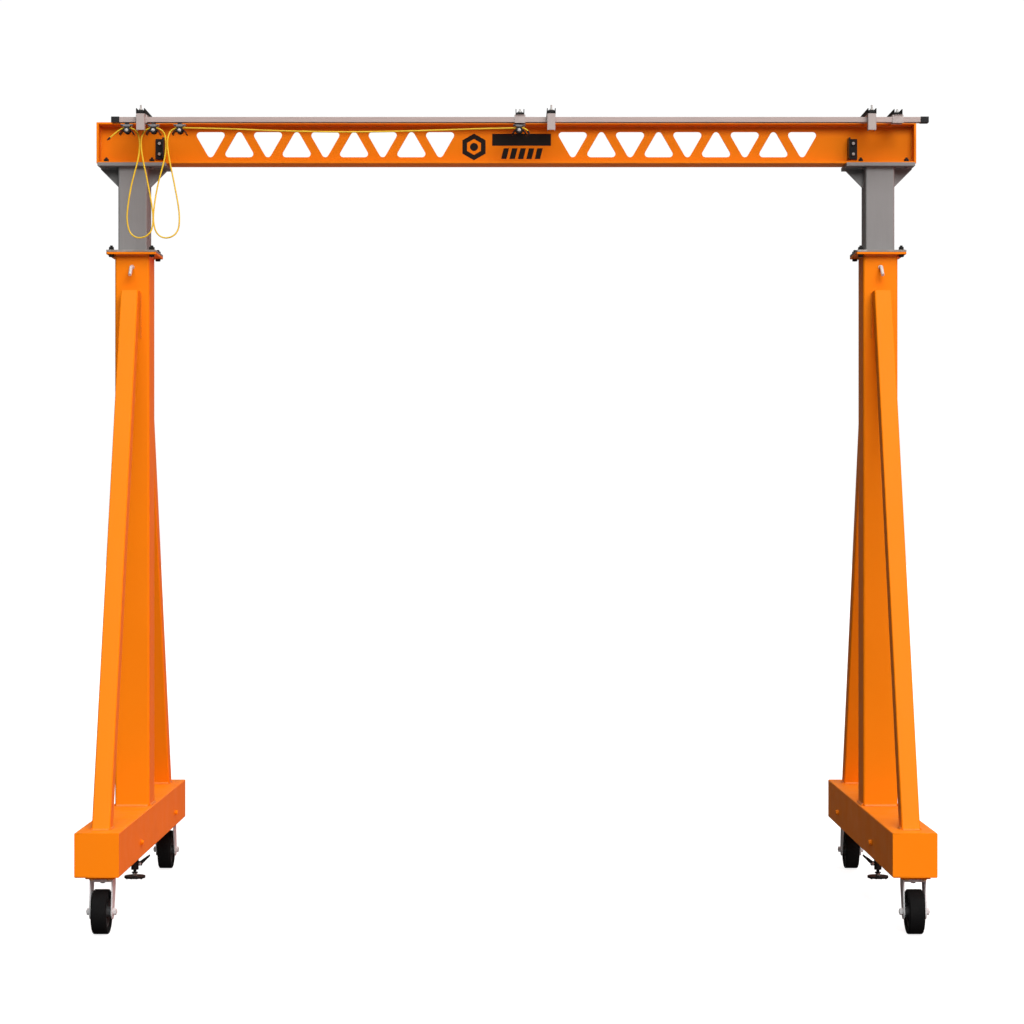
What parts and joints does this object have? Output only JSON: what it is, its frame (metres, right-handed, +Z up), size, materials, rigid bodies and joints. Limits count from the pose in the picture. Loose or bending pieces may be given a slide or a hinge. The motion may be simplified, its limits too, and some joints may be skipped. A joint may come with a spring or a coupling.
{
  "type": "portable gantry crane",
  "caption": "Rolling gantry crane: a lattice-web I-beam on two height-adjustable masts with braced base beams on swivel casters, floor locks and a cable festoon track.",
  "frame": {"origin": "on the floor under the middle of the lifting beam, midway between the two legs", "axes": "+X along the beam towards the right leg, +Y away from the cable track side (the track hangs on the -Y side), +Z up"},
  "size_m": [3.067, 1.6604, 2.9129],
  "materials": {
    "orange_paint": "semi-gloss sprayed orange enamel with light orange peel",
    "grey_paint": "satin grey painted square tube with drilled height holes",
    "black_paint": "satin black paint or black oxide on small fittings",
    "zinc_steel": "bright zinc plate on caster plates, forks and pins",
    "track_aluminium": "mill-finish extruded channel, drawn along its length",
    "black_rubber": "matt black solid tyre on a dark hub",
    "yellow_jacket": "satin yellow flexible cable jacket"
  },
  "bodies": {
    "left_leg": {"left_base_beam": "orange_paint", "left_outer_mast": "orange_paint", "left_guide_collar": "grey_paint", "left_front_brace": "orange_paint", "left_rear_brace": "orange_paint", "left_floor_lock_body": "black_paint", "left_front_caster_plate": "zinc_steel", "left_rear_caster_plate": "zinc_steel"},
    "right_leg": {"right_base_beam": "orange_paint", "right_outer_mast": "orange_paint", "right_guide_collar": "grey_paint", "right_front_brace": "orange_paint", "right_rear_brace": "orange_paint", "right_floor_lock_body": "black_paint", "right_front_caster_plate": "zinc_steel", "right_rear_caster_plate": "zinc_steel"},
    "beam_and_masts": {"beam_bottom_flange": "orange_paint", "beam_top_flange": "orange_paint", "beam_web": "orange_paint", "left_beam_end_plate": "orange_paint", "right_beam_end_plate": "orange_paint", "left_front_end_stop": "black_paint", "left_rear_end_stop": "black_paint", "right_front_end_stop": "black_paint", "right_rear_end_stop": "black_paint", "left_inner_mast": "grey_paint", "right_inner_mast": "grey_paint", "festoon_track": "track_aluminium", "track_end_cap_left": "black_paint", "track_end_cap_right": "black_paint", "cross_arm_1": "black_paint", "cross_arm_2": "black_paint", "cross_arm_3": "black_paint", "cross_arm_4": "black_paint", "cross_arm_5": "black_paint", "cable_clamp": "black_paint", "cable_tail_left": "yellow_jacket"},
    "first_cable_trolley": {"cable_trolley_a": "black_paint", "cable_loop_a": "yellow_jacket"},
    "second_cable_trolley": {"cable_trolley_b": "black_paint", "cable_loop_b": "yellow_jacket"},
    "tow_cable_trolley": {"tow_trolley": "black_paint", "cable_run": "yellow_jacket", "cable_tail_right": "yellow_jacket"},
    "left_pin": {"left_lock_pin": "zinc_steel"},
    "left_lock_pedal": {"left_floor_lock_pedal": "black_paint"},
    "left_lock_foot": {"left_floor_lock_foot": "black_paint"},
    "left_front_fork": {"left_front_caster_fork": "zinc_steel"},
    "left_front_wheel": {"left_front_caster_wheel": "black_rubber"},
    "left_rear_fork": {"left_rear_caster_fork": "zinc_steel"},
    "left_rear_wheel": {"left_rear_caster_wheel": "black_rubber"},
    "right_pin": {"right_lock_pin": "zinc_steel"},
    "right_lock_pedal": {"right_floor_lock_pedal": "black_paint"},
    "right_lock_foot": {"right_floor_lock_foot": "black_paint"},
    "right_front_fork": {"right_front_caster_fork": "zinc_steel"},
    "right_front_wheel": {"right_front_caster_wheel": "black_rubber"},
    "right_rear_fork": {"right_rear_caster_fork": "zinc_steel"},
    "right_rear_wheel": {"right_rear_caster_wheel": "black_rubber"}
  },
  "joints": [
    {"name": "mast_lift", "type": "slide", "parent": "left_leg", "child": "beam_and_masts", "axis": [0, 0, 1], "range_m": [0, 0.9144]},
    {"name": "right_leg_slide", "type": "slide", "parent": "beam_and_masts", "child": "right_leg", "axis": [0, 0, -1], "range_m": [0, 0.9144]},
    {"name": "left_pin_slide", "type": "slide", "parent": "left_leg", "child": "left_pin", "axis": [0, 1, 0], "range_m": [0, 0.013]},
    {"name": "left_lock_pedal_turn", "type": "hinge", "parent": "left_leg", "child": "left_lock_pedal", "pos_m": [-1.3685, 0, 0.13], "axis": [0, 1, 0], "range_deg": [0, 50]},
    {"name": "left_lock_foot_slide", "type": "slide", "parent": "left_leg", "child": "left_lock_foot", "axis": [0, 0, -1], "range_m": [0, 0.0721]},
    {"name": "left_front_swivel", "type": "hinge", "parent": "left_leg", "child": "left_front_fork", "pos_m": [-1.382, -0.732, 0.16], "axis": [0, 0, 1], "continuous": true},
    {"name": "left_front_wheel_spin", "type": "hinge", "parent": "left_front_fork", "child": "left_front_wheel", "pos_m": [-1.382, -0.754, 0.0762], "axis": [1, 0, 0], "continuous": true},
    {"name": "left_rear_swivel", "type": "hinge", "parent": "left_leg", "child": "left_rear_fork", "pos_m": [-1.382, 0.732, 0.16], "axis": [0, 0, 1], "continuous": true},
    {"name": "left_rear_wheel_spin", "type": "hinge", "parent": "left_rear_fork", "child": "left_rear_wheel", "pos_m": [-1.382, 0.754, 0.0762], "axis": [1, 0, 0], "continuous": true},
    {"name": "right_pin_slide", "type": "slide", "parent": "right_leg", "child": "right_pin", "axis": [0, 1, 0], "range_m": [0, 0.013]},
    {"name": "right_lock_pedal_turn", "type": "hinge", "parent": "right_leg", "child": "right_lock_pedal", "pos_m": [1.3685, 0, 0.13], "axis": [0, -1, 0], "range_deg": [0, 50]},
    {"name": "right_lock_foot_slide", "type": "slide", "parent": "right_leg", "child": "right_lock_foot", "axis": [0, 0, -1], "range_m": [0, 0.0721]},
    {"name": "right_front_swivel", "type": "hinge", "parent": "right_leg", "child": "right_front_fork", "pos_m": [1.396, -0.732, 0.16], "axis": [0, 0, 1], "continuous": true},
    {"name": "right_front_wheel_spin", "type": "hinge", "parent": "right_front_fork", "child": "right_front_wheel", "pos_m": [1.396, -0.754, 0.0762], "axis": [1, 0, 0], "continuous": true},
    {"name": "right_rear_swivel", "type": "hinge", "parent": "right_leg", "child": "right_rear_fork", "pos_m": [1.396, 0.732, 0.16], "axis": [0, 0, 1], "continuous": true},
    {"name": "right_rear_wheel_spin", "type": "hinge", "parent": "right_rear_fork", "child": "right_rear_wheel", "pos_m": [1.396, 0.754, 0.0762], "axis": [1, 0, 0], "continuous": true},
    {"name": "first_trolley_roll", "type": "slide", "parent": "beam_and_masts", "child": "first_cable_trolley", "axis": [1, 0, 0], "range_m": [0, 0.3], "deforming": ["cable_loop_a"]},
    {"name": "second_trolley_roll", "type": "slide", "parent": "first_cable_trolley", "child": "second_cable_trolley", "axis": [1, 0, 0], "range_m": [0, 0.3], "deforming": ["cable_loop_b"]},
    {"name": "tow_trolley_roll", "type": "slide", "parent": "second_cable_trolley", "child": "tow_cable_trolley", "axis": [1, 0, 0], "range_m": [-0.12, 0], "deforming": ["cable_run"]}
  ],
  "couplings": [
    {"joint": "right_leg_slide", "follows": "mast_lift", "ratio": 1},
    {"joint": "left_lock_foot_slide", "follows": "left_lock_pedal_turn", "m_per_rad": 0.0825},
    {"joint": "right_lock_foot_slide", "follows": "right_lock_pedal_turn", "m_per_rad": 0.0825}
  ]
}
